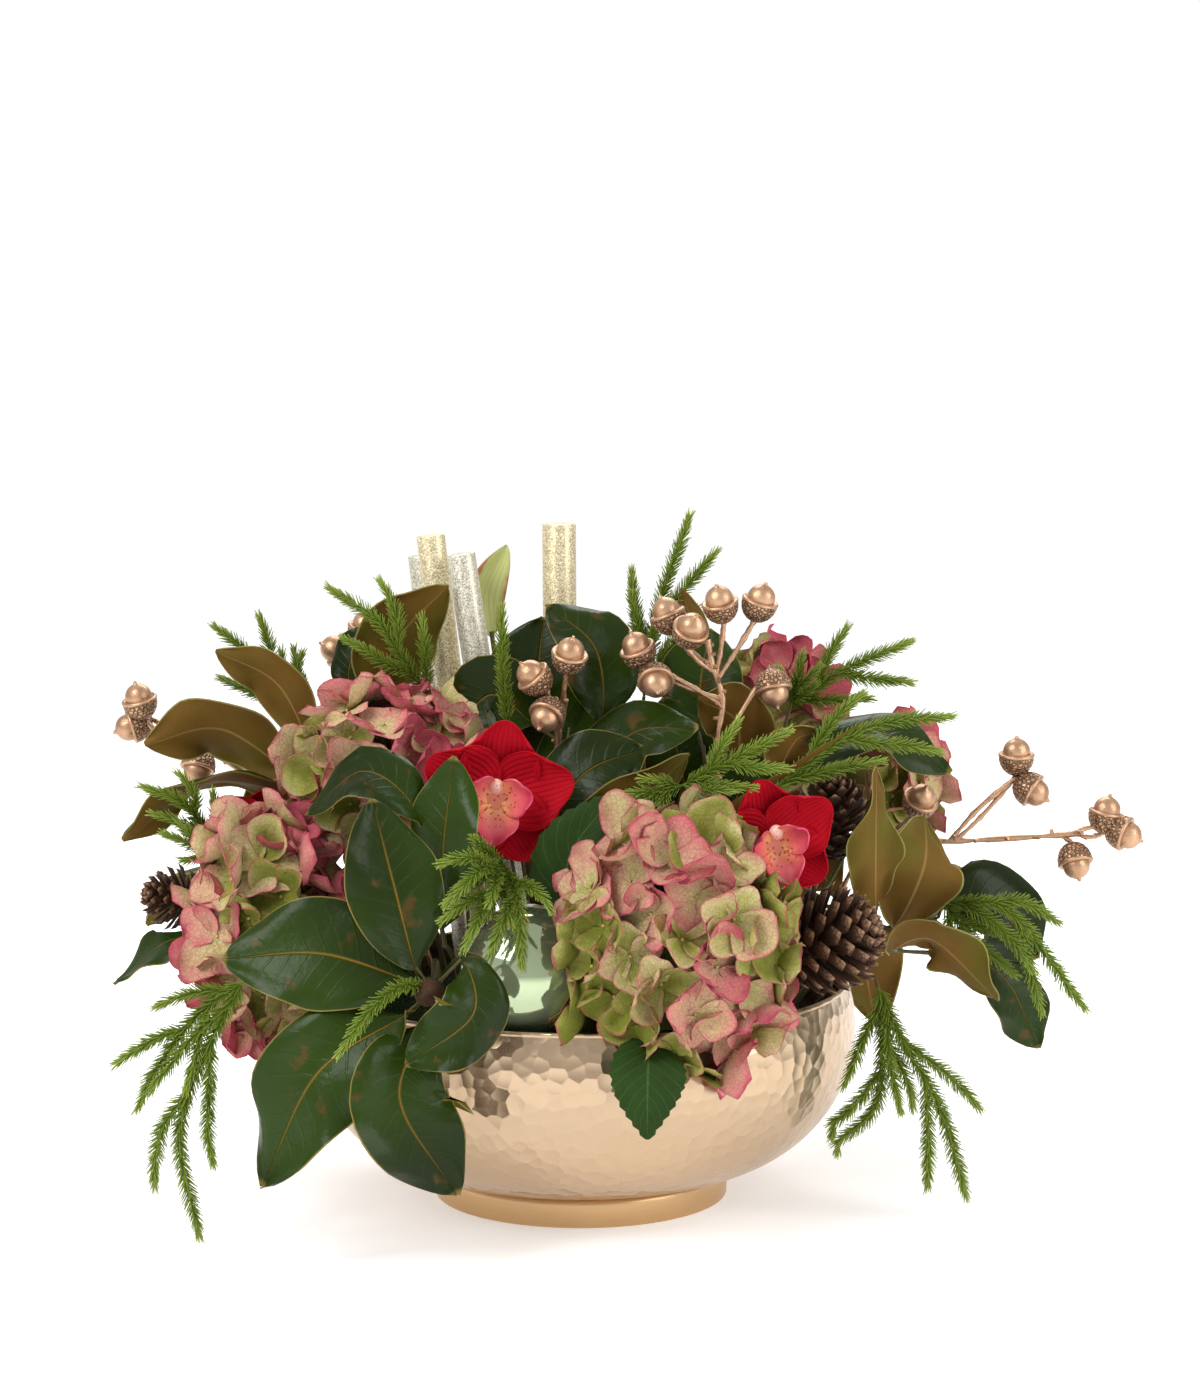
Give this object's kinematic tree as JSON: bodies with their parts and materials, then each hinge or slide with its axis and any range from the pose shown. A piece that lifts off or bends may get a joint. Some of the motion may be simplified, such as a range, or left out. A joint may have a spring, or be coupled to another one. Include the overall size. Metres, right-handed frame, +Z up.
{
  "type": "flower arrangement in bowl",
  "caption": "Artificial winter flower arrangement of leaves, blooms, cones and sprigs in foam in a wide footed hammered bowl.",
  "frame": {"origin": "centre of the foot's flat base, on the table", "axes": "+Z up, -Y to the front of the arrangement, +X to the viewer's right"},
  "size_m": [0.7168, 0.5089, 0.4776],
  "materials": {
    "polished_gold": "polished hammered warm gold",
    "satin_gold": "satin plain gold",
    "floral_foam": "matt dark green foam",
    "mirrored_green_glass": "mirrored pale green, glossy",
    "ornament_cap": "thin pressed metal",
    "gold_glitter": "fine gold glitter",
    "silver_glitter": "fine silver and champagne glitter",
    "pale_bud_leaf": "pale yellow green with a red edge",
    "hydrangea_petals": "soft petals, pink to green with deep pink edges",
    "orchid_red_petals": "deep red with fine stripes",
    "orchid_lip": "pink with a white and yellow spotted throat",
    "pine_cone_scales": "dark brown scales with paler tips",
    "rose_gold_acorns": "brushed rose gold paint",
    "magnolia_leaves": "glossy dark green above, brown suede below",
    "conifer_needles": "bright green soft needles"
  },
  "bodies": {
    "root": {"acorn_spray_centre": "rose_gold_acorns", "acorn_spray_left": "rose_gold_acorns", "acorn_spray_right": "rose_gold_acorns", "acorn_spray_small": "rose_gold_acorns", "acorn_spray_top_left": "rose_gold_acorns", "bowl": "polished_gold", "conifer_back_left": "conifer_needles", "conifer_back_right": "conifer_needles", "conifer_centre_right": "conifer_needles", "conifer_far_left": "conifer_needles", "conifer_left": "conifer_needles", "conifer_over_ball": "conifer_needles", "conifer_right_middle": "conifer_needles", "conifer_right_outer": "conifer_needles", "conifer_right_upper": "conifer_needles", "conifer_top_left": "conifer_needles", "conifer_top_right": "conifer_needles", "conifer_trailing_left": "conifer_needles", "conifer_trailing_right": "conifer_needles", "conifer_upright": "conifer_needles", "foam": "floral_foam", "foot": "satin_gold", "glitter_stick_gold_centre": "gold_glitter", "glitter_stick_gold_left": "gold_glitter", "glitter_stick_silver_back": "silver_glitter", "glitter_stick_silver_front": "silver_glitter", "hydrangea_back_left": "hydrangea_petals", "hydrangea_front": "hydrangea_petals", "hydrangea_left_lower": "hydrangea_petals", "hydrangea_left_upper": "hydrangea_petals", "hydrangea_right_back": "hydrangea_petals", "hydrangea_right_outer": "hydrangea_petals", "magnolia_back_centre": "magnolia_leaves", "magnolia_back_left": "magnolia_leaves", "magnolia_back_right": "magnolia_leaves", "magnolia_centre": "magnolia_leaves", "magnolia_front_left": "magnolia_leaves", "magnolia_left_centre": "magnolia_leaves", "magnolia_left_low": "magnolia_leaves", "magnolia_left_upper": "magnolia_leaves", "magnolia_right_centre": "magnolia_leaves", "magnolia_right_low": "magnolia_leaves", "magnolia_right_tall": "magnolia_leaves", "magnolia_right_upper": "magnolia_leaves", "magnolia_top_centre": "magnolia_leaves", "magnolia_top_left": "magnolia_leaves", "orchid_far_left_lip": "orchid_lip", "orchid_far_left_petals": "orchid_red_petals", "orchid_left_lip": "orchid_lip", "orchid_left_petals": "orchid_red_petals", "orchid_right_lip": "orchid_lip", "orchid_right_petals": "orchid_red_petals", "ornament_ball": "mirrored_green_glass", "ornament_cap_and_pick": "ornament_cap", "pale_bud_leaf": "pale_bud_leaf", "pine_cone_back": "pine_cone_scales", "pine_cone_left": "pine_cone_scales", "pine_cone_right_front": "pine_cone_scales", "pine_cone_right_upper": "pine_cone_scales"}
  },
  "joints": []
}
